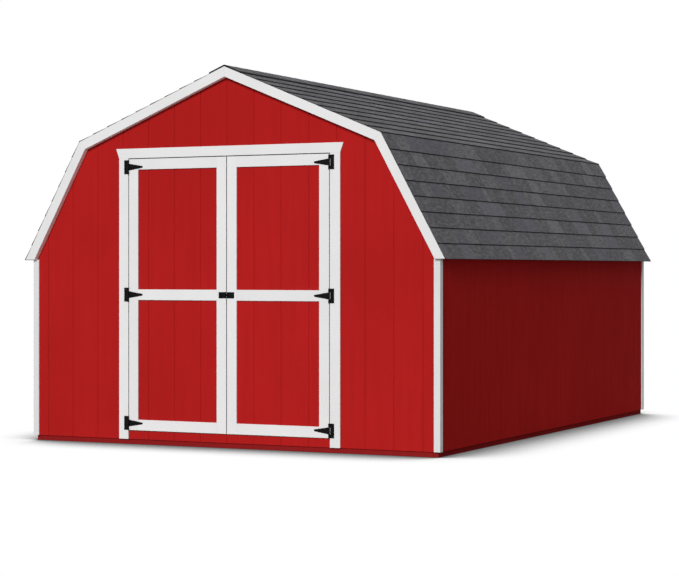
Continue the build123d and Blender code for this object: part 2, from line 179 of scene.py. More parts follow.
class BarnHardware(bpy.types.PropertyGroup):
    leaf: size_of("Leaf", "Thickness of the hinge leaves and the latch plate", 0.0025)
    screw_radius: size_of("Screw radius", "Radius of a screw head", 0.0042)
    screw_height: size_of("Screw height", "Height of a screw head", 0.0016)
    nail_radius: size_of("Nail radius", "Radius of a nail head", 0.0032)
    nail_height: size_of("Nail height", "Height of a nail head", 0.0008)
    nail_pitch: size_of("Nail pitch", "Distance between the nails along a board", 0.30)
    black: colour_of("Black", "Powder coat on the hinges and the latch", linear(9, 9, 10))


class BarnStage(bpy.types.PropertyGroup):
    camera_place: vector_of("Camera place", "Where the camera stands", (6.4428, -13.6943, 1.1939))
    camera_turn: number_of("Camera turn", "Turn of the camera about the upright", 0.4522, subtype="ANGLE")
    focal_pixels: number_of("Focal length", "Focal length in pixels of the photograph", 1981.575)
    horizon_row: number_of("Horizon", "Pixel row of the horizon", 269.35)
    key: number_of("Key", "Strength of the key light", 2.64)
    key_angle: number_of("Key angle", "Angle that the key light fills", math.radians(20.0), subtype="ANGLE")
    key_from: vector_of("Key from", "Direction that the key light comes from", (0.10, -0.90, 0.42))
    sky: number_of("Sky", "Strength of the light from all round", 0.28)
    floor: colour_of("Floor", "Colour of the floor", (0.40, 0.40, 0.40))
    # The soft shadow at the walls is painted into the floor's white glow by ambient occlusion.
    contact_reach: size_of("Contact reach", "How far the soft shadow reaches from the walls", 0.8)
    contact_depth: number_of("Contact depth", "Depth of the soft shadow at the walls", 0.88)


GROUPS = {
    "barn_siding": BarnSiding,
    "barn_trim": BarnTrim,
    "barn_roof": BarnRoof,
    "barn_timber": BarnTimber,
    "barn_hardware": BarnHardware,
    "barn_stage": BarnStage,
}


def shown(sockets, key):
    """The socket in use that has a name, or a place in the list."""
    used = [socket for socket in sockets if socket.enabled]
    if isinstance(key, int):
        return used[key]
    return next(socket for socket in used if socket.name == key)


class Graph:
    """Short calls that add the nodes of a shader or geometry tree and link them."""

    def __init__(self, tree):
        self.tree = tree

    def add(self, kind, inputs=None, **settings):
        """A node with its settings, and its inputs set or linked."""
        node = self.tree.nodes.new(kind)
        for name, value in settings.items():
            setattr(node, name, value)
        for key, value in (inputs or {}).items():
            self.feed(shown(node.inputs, key), value)
        return node

    def feed(self, socket, value):
        """Link a node's first output or a socket, or set a value."""
        if isinstance(value, bpy.types.Node):
            value = shown(value.outputs, 0)
        if isinstance(value, bpy.types.NodeSocket):
            self.tree.links.new(value, socket)
        else:
            socket.default_value = value

    def math(self, operation, *values, clamp=False):
        """A number worked out from one to three others."""
        return self.add("ShaderNodeMath", dict(enumerate(values)), operation=operation, use_clamp=clamp)

    def plus(self, first, *others):
        """The sum of some numbers."""
        for other in others:
            first = self.math("ADD", first, other)
        return first

    def times(self, first, second):
        """The product of two numbers."""
        return self.math("MULTIPLY", first, second)

    def minus(self, first, second):
        """The first number less the second."""
        return self.math("SUBTRACT", first, second)

    def weighed(self, *pairs):
        """The sum of some numbers, each times its weight."""
        return self.plus(*[self.times(value, weight) for value, weight in pairs])

    def vector_math(self, operation, *values):
        """A vector worked out from others."""
        return self.add("ShaderNodeVectorMath", dict(enumerate(values)), operation=operation)

    def joined(self, x, y, z):
        """A vector from three numbers."""
        return self.add("ShaderNodeCombineXYZ", {"X": x, "Y": y, "Z": z})

    def parts(self, vector):
        """The three numbers of a vector."""
        node = self.add("ShaderNodeSeparateXYZ", {0: vector})
        return node.outputs["X"], node.outputs["Y"], node.outputs["Z"]

    def spread(self, value, low, high, to_low=0.0, to_high=1.0, smooth=False):
        """A number carried from one range to another, held at its ends."""
        kind = "SMOOTHSTEP" if smooth else "LINEAR"
        ranges = {"Value": value, "From Min": low, "From Max": high, "To Min": to_low, "To Max": to_high}
        return self.add("ShaderNodeMapRange", ranges, interpolation_type=kind)

    def mix(self, factor, first, second):
        """Two colours mixed."""
        inputs = {"Factor": factor, "A": coloured(first), "B": coloured(second)}
        return self.add("ShaderNodeMix", inputs, data_type="RGBA")

    def noise(self, place, scale, detail=3.0, roughness=0.5, distortion=0.0):
        """Soft noise about one half."""
        inputs = {"Vector": place, "Scale": scale, "Detail": detail, "Roughness": roughness}
        return self.add("ShaderNodeTexNoise", {**inputs, "Distortion": distortion})


def coloured(value):
    """A colour with its fourth number, or a node as it is."""
    if isinstance(value, (bpy.types.Node, bpy.types.NodeSocket)):
        return value
    return (*tuple(value)[:3], 1.0)


class Surface(Graph):
    """A material with one principled shader."""

    def __init__(self, name, roughness, specular):
        self.material = bpy.data.materials.new(name)
        self.material.use_nodes = True
        super().__init__(self.material.node_tree)
        self.shader = next(node for node in self.tree.nodes if node.type == "BSDF_PRINCIPLED")
        self.shader.inputs["Roughness"].default_value = roughness
        self.shader.inputs["Specular IOR Level"].default_value = specular

    def place(self):
        """Place in the frame, in metres."""
        return self.add("ShaderNodeTexCoord").outputs["Object"]

    def attribute(self, name, output="Vector"):
        """An attribute of the piece's own mesh."""
        return self.add("ShaderNodeAttribute", attribute_name=name).outputs[output]

    def stretched(self, place, scales):
        """A place with each of its axes scaled."""
        return self.vector_math("MULTIPLY", place, scales)

    def fibres(self, place, scales, **settings):
        """Noise drawn out along the axis that has the least scale."""
        return self.noise(self.stretched(place, scales), 1.0, **settings)

    def cells(self, place, scale=1.0):
        """Cells of chance shapes, each with a colour of its own."""
        return self.add("ShaderNodeTexVoronoi", {"Vector": place, "Scale": scale})

    def shades(self, tone, low, high, first, second):
        """The first colour where a tone is low, going over to the second where it is high."""
        return self.mix(self.spread(tone, low, high), first, second)

    def paint(self, colour, roughness=None):
        """Give the shader its colour, and a roughness that varies."""
        self.feed(self.shader.inputs["Base Color"], colour)
        if roughness is not None:
            self.feed(self.shader.inputs["Roughness"], roughness)

    def bump(self, height, distance, strength=1.0):
        """Give the shader a relief, its full height as a distance in metres."""
        node = self.add("ShaderNodeBump", {"Height": height, "Strength": strength, "Distance": distance})
        self.feed(self.shader.inputs["Normal"], node)


def toned(colour, share):
    """A colour made darker or lighter."""
    return tuple(min(1.0, channel * share) for channel in tuple(colour)[:3])


def siding_paint(name, paint):
    """Satin paint on siding embossed with an upright wood grain."""
    surface = Surface(name, 0.6, specular=0.005)
    place = surface.place()
    cloud = surface.noise(place, 1.1, detail=4.0)
    stroke = surface.fibres(place, (26.0, 26.0, 1.6))
    base = surface.shades(cloud, 0.32, 0.68, toned(paint, 0.93), toned(paint, 1.06))
    colour = surface.mix(surface.spread(stroke, 0.35, 0.7, 0.0, 0.35), base, toned(paint, 0.86))
    grain = surface.fibres(place, (220.0, 220.0, 9.0), detail=4.0, distortion=0.6)
    stipple = surface.noise(place, 520.0, detail=2.0)
    surface.paint(colour, surface.spread(stroke, 0.3, 0.7, 0.55, 0.7))
    surface.bump(surface.plus(grain, surface.times(stipple, 0.25)), 0.0009, 0.55)
    return surface.material


def siding_back(name, back):
    """Bare back of the siding: pressed wood fibre with fine flakes."""
    surface = Surface(name, 0.85, specular=0.2)
    place = surface.place()
    flake = surface.parts(surface.cells(place, 70.0).outputs["Color"])[0]
    shade = surface.noise(place, 6.0, detail=4.0)
    tone = surface.weighed((flake, 0.5), (shade, 0.5))
    surface.paint(surface.shades(tone, 0.2, 0.8, toned(back, 0.78), toned(back, 1.2)))
    surface.bump(tone, 0.0006, 0.6)
    return surface.material


def trim_paint(name, white):
    """White paint over boards, with a faint grain along each board."""
    surface = Surface(name, 0.45, specular=0.35)
    place = surface.attribute("board_place")
    own = surface.attribute("board_tone", "Fac")
    grain = surface.fibres(place, (160.0, 160.0, 6.0), detail=4.0, distortion=0.5)
    cloud = surface.noise(place, 3.0)
    tone = surface.weighed((grain, 0.35), (cloud, 0.65), (own, 0.12))
    colour = surface.shades(tone, 0.3, 0.7, toned(white, 0.955), toned(white, 1.02))
    surface.paint(colour, surface.spread(cloud, 0.3, 0.7, 0.4, 0.55))
    surface.bump(grain, 0.0005, 0.5)
    return surface.material


def timber_wood(name, settings):
    """Dressed softwood, its grain along each board, with a few knots."""
    surface = Surface(name, 0.68, specular=0.25)
    place = surface.attribute("board_place")
    own = surface.attribute("board_tone", "Fac")
    rings = surface.fibres(place, (38.0, 38.0, 0.9), detail=2.0, distortion=1.2)
    bands = surface.math("SINE", surface.times(rings, 46.0))
    fibre = surface.fibres(place, (420.0, 420.0, 8.0))
    knots = surface.cells(surface.stretched(place, (9.0, 9.0, 2.6)))
    knot = surface.spread(knots.outputs["Distance"], 0.05, 0.11, 0.8, 0.0, smooth=True)
    grain = surface.weighed((bands, 0.22), (fibre, 0.6))
    base = surface.shades(grain, 0.05, 0.65, settings.ring, settings.pale)
    shaded = surface.mix(surface.spread(own, -1.0, 1.0, 0.0, 0.3), base, toned(settings.ring, 0.8))
    colour = surface.mix(knot, shaded, toned(settings.ring, 0.32))
    surface.paint(colour, surface.spread(fibre, 0.3, 0.7, 0.6, 0.78))
    surface.bump(fibre, 0.0006, 0.5)
    return surface.material


def strand_board(name, board):
    """Board pressed from wood strands that lie every way."""
    surface = Surface(name, 0.75, specular=0.25)
    place = surface.place()
    warp = surface.noise(place, 5.0, detail=2.0)
    bent = surface.vector_math("ADD", place, surface.stretched(warp.outputs["Color"], (0.05, 0.05, 0.05)))
    layers = []
    for scales in ((9.0, 38.0, 26.0), (40.0, 12.0, 30.0), (24.0, 24.0, 11.0)):
        strands = surface.cells(surface.stretched(bent, scales))
        layers.append((surface.parts(strands.outputs["Color"])[0], 1 / 3))
    tone = surface.weighed(*layers)
    colour = surface.shades(tone, 0.22, 0.78, toned(board, 0.66), toned(board, 1.22))
    surface.paint(colour, surface.spread(tone, 0.2, 0.8, 0.65, 0.82))
    surface.bump(tone, 0.0008, 0.6)
    return surface.material


def floor_board_wood(name, settings):
    """Sheet floor with a broad grain and faint sheet joints."""
    surface = Surface(name, 0.6, specular=0.3)
    place = surface.place()
    figure = surface.fibres(place, (2.2, 16.0, 16.0), detail=5.0, distortion=1.4)
    fibre = surface.fibres(place, (14.0, 300.0, 300.0), detail=2.0)
    tone = surface.weighed((figure, 0.7), (fibre, 0.3))
    base = surface.shades(tone, 0.35, 0.65, toned(settings.ring, 0.95), toned(settings.pale, 0.97))
    sheet_width = 1.2192
    half_sheet = sheet_width / 2
    along = surface.plus(surface.parts(place)[1], half_sheet)
    joint = surface.spread(surface.math("PINGPONG", along, half_sheet), 0.0, 0.002, 1.0, 0.0)
    colour = surface.mix(joint, base, toned(settings.ring, 0.3))
    surface.paint(colour, surface.spread(fibre, 0.3, 0.7, 0.5, 0.68))
    surface.bump(fibre, 0.0004, 0.5)
    return surface.material


def shingle_granules(name, settings, band_start, share):
    """Mineral granules: a tone for each tab, specks along the courses, a dark band under each butt and dark
    butts: partly print and bare asphalt, partly painted shade.
    """
    surface = Surface(name, 0.92, specular=0.15)
    place = surface.attribute("slope_place")
    tone = surface.attribute("tone", "Fac")
    _, rise, height = surface.parts(surface.attribute("tab_place"))
    streak = surface.fibres(place, (70.0, 9.0, 9.0), roughness=0.6)
    speck = surface.fibres(place, (17.0, 48.0, 48.0), detail=4.0, roughness=0.8)
    grit = surface.noise(place, 420.0, detail=2.0, roughness=0.7)
    own = surface.math("POWER", tone, 2.2)
    blend = surface.weighed((own, 0.85), (streak, 0.9), (speck, 5.0), (surface.minus(grit, 0.5), 0.5))
    dark_at = 2.68
    light_at = 4.06
    # share scales the granule colours of one slope; below one it is painted shade.
    tones = (toned(settings.dark, share), toned(settings.light, share))
    grey = surface.shades(blend, dark_at, light_at, *tones)
    cool = surface.math("FRACT", surface.times(tone, 7.31))
    base = surface.mix(surface.spread(cool, 0.76, 0.82, 0.0, 0.4), grey, toned(settings.violet, share))
    # Dark band at the top of each course, under the next butt: partly printed shadow line, partly painted
    # shade.
    band_blur = 0.04
    band = surface.spread(rise, band_start, band_start + band_blur, 0.0, 0.9, smooth=True)
    banded = surface.mix(band, base, settings.shadow)
    # The lower part of the butt and end faces takes a darker shadow colour: partly bare asphalt edge, partly
    # painted shade.
    edge = surface.spread(height, 0.8, 0.99, 1.0, 0.0)
    surface.paint(surface.mix(edge, banded, toned(settings.shadow, 0.7)))
    surface.bump(grit, 0.0012, 0.6)
    return surface.material


def black_iron(name, black):
    """Black powder coat with a fine orange peel."""
    surface = Surface(name, 0.5, specular=0.06)
    place = surface.place()
    peel = surface.noise(place, 900.0, detail=2.0)
    dust = surface.noise(place, 60.0, detail=4.0)
    colour = surface.shades(dust, 0.4, 0.75, black, toned(black, 2.1))
    surface.paint(colour, surface.spread(dust, 0.3, 0.7, 0.36, 0.52))
    surface.bump(peel, 0.0002, 0.6)
    return surface.material


def finish(name, make, *settings):
    """A material, made the first time that it is asked for."""
    return bpy.data.materials.get(name) or make(name, *settings)


def white_finish():
    """The paint of the doors, the doorway and the roof edges."""
    return finish("trim_paint", trim_paint, bpy.context.scene.barn_trim.white)


def red_finish():
    """The paint of the siding."""
    return finish("siding_paint", siding_paint, bpy.context.scene.barn_siding.red)


def new_object(name, data):
    """A new object in the scene."""
    thing = bpy.data.objects.new(name, data)
    bpy.context.scene.collection.objects.link(thing)
    return thing


def body_of(node):
    """The body that a node of the frame rides on."""
    bodies = frame["record"]["behaviour"]["bodies"]
    return next(body for body, members in bodies.items() if node in members)


def frame_mesh(*nodes, merged=True):
    """The solids of some nodes of the frame, their points merged where asked."""
    shape = bmesh.new()
    for node in nodes:
        shape.from_mesh(frame["nodes"][node].data)
    if merged:
        merge_points(shape)
    return shape


def merge_points(shape):
    """Make one point of those that touch."""
    bmesh.ops.remove_doubles(shape, verts=shape.verts, dist=TOUCH)


def flatten(shape):
    """Make each flat side one face."""
    bmesh.ops.dissolve_limit(shape, angle_limit=FLAT_ANGLE, verts=shape.verts, edges=shape.edges)


def islands(shape):
    """The points of each separate solid."""
    left = set(shape.verts)
    found = []
    while left:
        reached = {next(iter(left))}
        front = list(reached)
        while front:
            point = front.pop()
            for edge in point.link_edges:
                other = edge.other_vert(point)
                if other not in reached:
                    reached.add(other)
                    front.append(other)
        left -= reached
        found.append(sorted(reached, key=lambda point: point.index))
    return sorted(found, key=lambda points: points[0].index)


class Board:
    """The middle, axes and size of one board, from the points of its solid."""

    def __init__(self, points):
        edges = {edge for point in points for edge in point.link_edges}
        longest = max(edges, key=lambda edge: round(edge.calc_length(), 5))
        self.along = (longest.verts[1].co - longest.verts[0].co).normalized()
        if max(self.along, key=abs) < 0:
            self.along.negate()
        faces = {face for point in points for face in point.link_faces}
        widest = max(faces, key=lambda face: round(face.calc_area(), 6))
        self.out = widest.normal.copy()
        self.across = self.along.cross(self.out).normalized()
        centre = sum((point.co for point in points), Vector()) / len(points)
        if self.out.dot(centre) < 0:
            self.out.negate()
        reach = [[axis.dot(point.co) for point in points] for axis in (self.across, self.out, self.along)]
        self.middle = [(min(values) + max(values)) / 2 for values in reach]
        self.half = [(max(values) - min(values)) / 2 for values in reach]

    def place_of(self, point):
        """A point in the board's own axes, from its middle."""
        axes = (self.across, self.out, self.along)
        return Vector([axis.dot(point) - middle for axis, middle in zip(axes, self.middle)])

    def point_at(self, across, out, along):
        """The point of the frame at a place in the board's own axes."""
        offsets = [middle + value for middle, value in zip(self.middle, (across, out, along))]
        return self.across * offsets[0] + self.out * offsets[1] + self.along * offsets[2]


def boards_of(*nodes):
    """The boards of some nodes."""
    shape = frame_mesh(*nodes)
    flatten(shape)
    shape.normal_update()
    found = [Board(points) for points in islands(shape)]
    shape.free()
    return found


def mark_boards(shape, name):
    """Give each board its own grain place and tone, as attributes of its points."""
    place_layer = shape.verts.layers.float_vector.new("board_place")
    tone_layer = shape.verts.layers.float.new("board_tone")
    draw = random.Random(name)
    for points in islands(shape):
        board = Board(points)
        shift = Vector([draw.uniform(0.0, 9.0) for _ in range(3)])
        tone = draw.uniform(-1.0, 1.0)
        for point in points:
            point[place_layer] = board.place_of(point.co) + shift
            point[tone_layer] = tone


def add_piece(name, mesh, body, replaced=()):
    """Put a finished mesh in the scene, riding on its body."""
    piece = new_object(name, mesh)
    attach(piece, body)
    if replaced:
        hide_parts(*replaced)
    return piece


def mesh_from(shape, name, *materials):
    """A mesh made from a shape, with its materials in order."""
    bmesh.ops.recalc_face_normals(shape, faces=shape.faces)
    mesh = bpy.data.meshes.new(name)
    shape.to_mesh(mesh)
    shape.free()
    for material in materials:
        mesh.materials.append(material)
    return mesh


def eased_boards(node, ease, material, painted=None):
    """Copy a node's boards with their edges eased, and with painted outer faces where asked."""
    shape = frame_mesh(node)
    flatten(shape)
    sharp = [edge for edge in shape.edges if edge.calc_face_angle(0.0) > SHARP_ANGLE]
    rounding = {"offset": ease, "offset_type": "OFFSET", "segments": 2, "profile": 0.5}
    bmesh.ops.bevel(shape, geom=sharp, affect="EDGES", clamp_overlap=True, **rounding)
    shape.verts.index_update()
    shape.normal_update()
    mark_boards(shape, node)
    materials = [material]
    if painted:
        test, paint = painted
        materials.append(paint)
        for face in shape.faces:
            face.material_index = int(test(face))
    name = node + "_eased"
    add_piece(name, mesh_from(shape, name, *materials), body_of(node), [node])


def looks_down(face):
    """Whether a face looks down, as the soffit of a sloping board does."""
    least_down = 0.1
    most_endways = 0.3
    return face.normal.z < -least_down and abs(face.normal.y) < most_endways


def cut_across(shape, place, axis):
    """Cut a shape through at a place on one axis, with nothing taken away."""
    normal = Vector((0.0, 0.0, 0.0))
    normal[axis] = 1.0
    geometry = [*shape.verts, *shape.edges, *shape.faces]
    bmesh.ops.bisect_plane(shape, geom=geometry, dist=TOUCH, plane_co=normal * place, plane_no=normal)


def cut_grooves(shape, places, axis, outward, settings, depth):
    """Press upright grooves into the outer face of a siding."""
    level = max(outward.dot(point.co) for point in shape.verts)
    for place in places:
        for half in (settings.groove_width / 2, settings.groove_floor / 2):
            cut_across(shape, place - half, axis)
            cut_across(shape, place + half, axis)
    reach = settings.groove_floor / 2 + NEAR
    for point in shape.verts:
        on_face = abs(outward.dot(point.co) - level) < NEAR
        if on_face and any(abs(point.co[axis] - place) < reach for place in places):
            point.co -= outward * depth


def open_joints(shape, opening_half, sill, head):
    """Take out the touching faces between the front siding's sheets, so that it is one sheet."""
    cut_across(shape, sill, 2)
    cut_across(shape, head, 2)
    touching = []
    for face in shape.faces:
        middle = face.calc_center_median()
        beside = abs(abs(middle.x) - opening_half) < NEAR and abs(face.normal.x) > FACING
        if beside and not sill < middle.z < head:
            touching.append(face)
    bmesh.ops.delete(shape, geom=touching, context="FACES")


def siding_side(face, outward, edges):
    """Zero for a painted face, one for the bare back, two for a white edge at the doorway."""
    if face.normal.dot(outward) < -FACING:
        return 1
    x = abs(face.calc_center_median().x)
    at_edge = abs(face.normal.x) > FACING and any(abs(x - place) < NEAR for place in edges)
    return 2 if at_edge else 0


def grooved_siding(name, nodes, axis, outward, places, depth, joints=None, edges=()):
    """Copy a siding with its grooves, painted outside and bare inside."""
    settings = bpy.context.scene.barn_siding
    shape = frame_mesh(*nodes, merged=False)
    shape.normal_update()
    if joints:
        open_joints(shape, *joints)
    merge_points(shape)
    cut_grooves(shape, places, axis, outward, settings, depth)
    bmesh.ops.recalc_face_normals(shape, faces=shape.faces)
    flatten(shape)
    shape.normal_update()
    for face in shape.faces:
        face.material_index = siding_side(face, outward, edges)
    bare = finish("siding_back", siding_back, settings.back)
    edge = finish("edge_paint", siding_paint, bpy.context.scene.barn_trim.white)
    mesh = mesh_from(shape, name, red_finish(), bare, edge)
    add_piece(name, mesh, body_of(nodes[0]), nodes)


def groove_places(low, high, pitch, offset):
    """Where the grooves fall between two ends, counted out from the middle."""
    inset = 0.02
    first = math.ceil((low + inset) / pitch - offset)
    last = math.floor((high - inset) / pitch - offset)
    return [(index + offset) * pitch for index in range(first, last + 1)]


class Tree(Graph):
    """A geometry tree with named inputs that ends in real faces with a material."""

    def __init__(self, name, numbers, counts, start=False):
        group = bpy.data.node_groups.new(name, "GeometryNodeTree")
        group.interface.new_socket("Geometry", in_out="OUTPUT", socket_type="NodeSocketGeometry")
        kinds = {"Geometry": "Geometry"} if start else {}
        kinds.update(dict.fromkeys(numbers, "Float"))
        kinds.update(dict.fromkeys(counts, "Int"))
        kinds["Material"] = "Material"
        for label, kind in kinds.items():
            group.interface.new_socket(label, in_out="INPUT", socket_type="NodeSocket" + kind)
        super().__init__(group)
        self.given = self.add("NodeGroupInput").outputs
        self.result = self.add("NodeGroupOutput")

    def random(self, low, high, identity, seed):
        """A random number for each identity."""
        inputs = {"Min": low, "Max": high, "ID": identity, "Seed": seed}
        return shown(self.add("FunctionNodeRandomValue", inputs, data_type="FLOAT").outputs, 0)

    def store(self, geometry, name, value, kind="FLOAT", domain="POINT"):
        """Keep a value as a named attribute."""
        inputs = {"Geometry": geometry, "Name": name, "Value": value}
        return self.add("GeometryNodeStoreNamedAttribute", inputs, data_type=kind, domain=domain)

    def tone(self, instances):
        """Give each instance a tone of its own."""
        value = self.random(0.0, 1.0, self.add("GeometryNodeInputIndex"), self.given["Seed"])
        return self.store(instances, "tone", value, domain="INSTANCE")

    def end(self, instances):
        """Make the instances real, keep their place and give them the material."""
        real = self.add("GeometryNodeRealizeInstances", {"Geometry": instances})
        place = self.store(real, "slope_place", self.add("GeometryNodeInputPosition"), "FLOAT_VECTOR")
        inputs = {"Geometry": place, "Material": self.given["Material"]}
        self.feed(self.result.inputs[0], self.add("GeometryNodeSetMaterial", inputs))


def grown_mesh(name, tree, values, start=None):
    """The plain mesh that a geometry tree makes, from a start mesh where it has one."""
    holder = new_object(name, start or bpy.data.meshes.new(name))
    modifier = holder.modifiers.new(name, "NODES")
    modifier.node_group = tree
    for item in tree.interface.items_tree:
        if item.item_type == "SOCKET" and item.in_out == "INPUT" and item.name in values:
            modifier[item.identifier] = values[item.name]
    seen = holder.evaluated_get(bpy.context.evaluated_depsgraph_get())
    mesh = bpy.data.meshes.new_from_object(seen)
    holder.modifiers.remove(modifier)
    bpy.data.objects.remove(holder)
    mesh.name = name
    return mesh


def course_tree():
    """Courses of wedge shaped tabs on one slope: X along the eave, Y up the slope, Z outwards."""
    numbers = ("Length", "Exposure", "Top", "Pitch", "Gap", "Jitter", "Step", "Layer", "Relief")
    tree = Tree("shingle_courses", numbers, ("Courses", "Tabs", "Seed"))
    given = tree.given
    index = tree.add("GeometryNodeInputIndex")
    row = tree.math("FLOOR", tree.math("DIVIDE", tree.plus(index, 0.5), given["Tabs"]))
    column = tree.minus(index, tree.times(row, given["Tabs"]))
    shift = tree.random(-1.0, 0.0, row, given["Seed"])

    def joint(steps):
        """Where a joint between two tabs falls along the eave."""
        identity = tree.plus(index, steps, row)
        sway = tree.times(tree.random(-1.0, 1.0, identity, given["Seed"]), given["Jitter"])
        free = tree.times(tree.plus(column, steps, shift, sway), given["Pitch"])
        return tree.math("MINIMUM", tree.math("MAXIMUM", free, 0.0), given["Length"])

    start = joint(0.0)
    width = tree.minus(tree.minus(joint(1.0), start), given["Gap"])
    depth = tree.times(tree.random(0.0, -1.0, index, RELIEF_SEED), given["Relief"])
    place = tree.joined(start, tree.times(row, given["Exposure"]), depth)
    count = tree.times(given["Courses"], given["Tabs"])
    points = tree.add("GeometryNodePoints", {"Count": count, "Position": place})

    cube = tree.add("GeometryNodeMeshCube", {"Size": (1.0, 1.0, 1.0)})
    share = tree.vector_math("ADD", tree.add("GeometryNodeInputPosition"), (0.5, 0.5, 0.5))
    marked = tree.store(shown(cube.outputs, "Mesh"), "tab_place", share, "FLOAT_VECTOR")
    across, up, top = tree.parts(share)
    low = tree.times(tree.minus(top, 1.0), given["Layer"])
    drop = tree.times(tree.times(up, top), given["Step"])
    corner = tree.joined(across, tree.times(up, given["Exposure"]), tree.minus(low, drop))
    tab = tree.add("GeometryNodeSetPosition", {"Geometry": marked, "Position": corner})

    at_top = tree.math("COMPARE", row, tree.minus(given["Courses"], 1.0), 0.5)
    height = tree.plus(1.0, tree.times(at_top, tree.minus(given["Top"], 1.0)))
    inputs = {
        "Points": points,
        "Selection": tree.math("GREATER_THAN", width, NARROWEST_TAB),
        "Instance": tab,
        "Scale": tree.joined(width, height, 1.0),
    }
    tree.end(tree.tone(tree.add("GeometryNodeInstanceOnPoints", inputs)))
    return tree.tree


def cap_tree():
    """Copies of one cap, laid one after another along Y."""
    tree = Tree("ridge_caps", ("Exposure",), ("Count", "Seed"), start=True)
    given = tree.given
    place = tree.joined(0.0, tree.times(tree.add("GeometryNodeInputIndex"), given["Exposure"]), 0.0)
    points = tree.add("GeometryNodePoints", {"Count": given["Count"], "Position": place})
    inputs = {"Points": points, "Instance": given["Geometry"]}
    tree.end(tree.tone(tree.add("GeometryNodeInstanceOnPoints", inputs)))
    return tree.tree


def head_tree():
    """Nail or screw heads on the given points, each turned to its facing."""
    tree = Tree("fastener_heads", ("Radius", "Height"), ("Sides",), start=True)
    given = tree.given
    sizes = {
        "Vertices": given["Sides"],
        "Radius Top": tree.times(given["Radius"], HEAD_TAPER),
        "Radius Bottom": given["Radius"],
        "Depth": given["Height"],
    }
    cone = tree.add("GeometryNodeMeshCone", sizes, fill_type="NGON")
    facing = tree.add("GeometryNodeInputNamedAttribute", {"Name": "facing"}, data_type="FLOAT_VECTOR")
    turn = tree.add("FunctionNodeAlignRotationToVector", {"Vector": facing}, axis="Z")
    inputs = {"Points": given["Geometry"], "Instance": shown(cone.outputs, "Mesh"), "Rotation": turn}
    tree.end(tree.add("GeometryNodeInstanceOnPoints", inputs))
    return tree.tree


def tree_named(name, make):
    """A geometry tree, made the first time that it is asked for."""
    return bpy.data.node_groups.get(name) or make()


def add_heads(name, body, slot, spots, radius, height, material, sides=10):
    """Heads at a list of points and facings, as one piece on one body."""
    start = bpy.data.meshes.new(name + "_points")
    start.from_pydata([spot for spot, _ in spots], [], [])
    layer = start.attributes.new("facing", "FLOAT_VECTOR", "POINT")
    layer.data.foreach_set("vector", [value for _, facing in spots for value in facing])
    values = {"Radius": radius, "Height": height, "Sides": sides, "Material": material}
    mesh = grown_mesh(name, tree_named("fastener_heads", head_tree), values, start)
    add_piece(name, mesh, body)


class RoofLine:
    """The eave, knee and ridge of the shingles, read from the frame."""

    def __init__(self):
        steep_low, steep_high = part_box("shingles_lower")
        _, shallow_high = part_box("shingles_upper")
        points = frame["nodes"]["shingles_upper"].data.vertices
        self.eave = Vector((steep_high.x, 0.0, steep_low.z))
        self.knee = Vector((shallow_high.x, 0.0, steep_high.z))
        self.ridge = Vector((min(abs(point.co.x) for point in points), 0.0, shallow_high.z))
        self.front = steep_low.y
        self.back = steep_high.y

    def slope(self, low, high, side):
        """Matrix that lays a flat sheet of courses on one slope."""
        up = Vector((side * (high.x - low.x), 0.0, high.z - low.z)).normalized()
        along = Vector((0.0, side, 0.0))
        out = along.cross(up)
        start = Vector((side * low.x, self.front if side > 0 else self.back, low.z))
        matrix = Matrix((along, up, out)).transposed().to_4x4()
        matrix.translation = start
        return matrix

    def height_at(self, x):
        """Height of the roof line at a distance from the middle."""
        x = abs(x)
        low, high = (self.eave, self.knee) if x > self.knee.x else (self.knee, self.ridge)
        share = (low.x - x) / (low.x - high.x)
        return low.z + share * (high.z - low.z)


def joined_mesh(name, meshes):
    """Several meshes as one, with their attributes."""
    pieces = [new_object(mesh.name, mesh) for mesh in meshes]
    first = pieces[0]
    with bpy.context.temp_override(active_object=first, object=first, selected_editable_objects=pieces):
        bpy.ops.object.join()
    mesh = first.data
    bpy.data.objects.remove(first)
    mesh.name = name
    return mesh


def shingled_slopes(node, low, high, seed, own_values):
    """Courses on the left and right slopes of one pitch."""
    settings = bpy.context.scene.barn_roof
    roof = RoofLine()
    length = roof.back - roof.front
    values = {
        "Length": length,
        "Tabs": math.ceil(length / settings.tab_pitch) + SPARE_TABS,
        "Pitch": settings.tab_pitch,
        "Gap": settings.tab_gap,
        "Jitter": settings.tab_jitter,
        "Step": settings.step,
        "Layer": settings.layer,
        "Relief": settings.relief,
        **own_values,
    }
    tree = tree_named("shingle_courses", course_tree)
    name = node + "_courses"
    meshes = []
    for side in (1, -1):
        mesh = grown_mesh(f"{name}_{side}", tree, {**values, "Seed": seed + side})
        mesh.transform(roof.slope(low, high, side))
        meshes.append(mesh)
    add_piece(name, joined_mesh(name, meshes), body_of(node), [node])


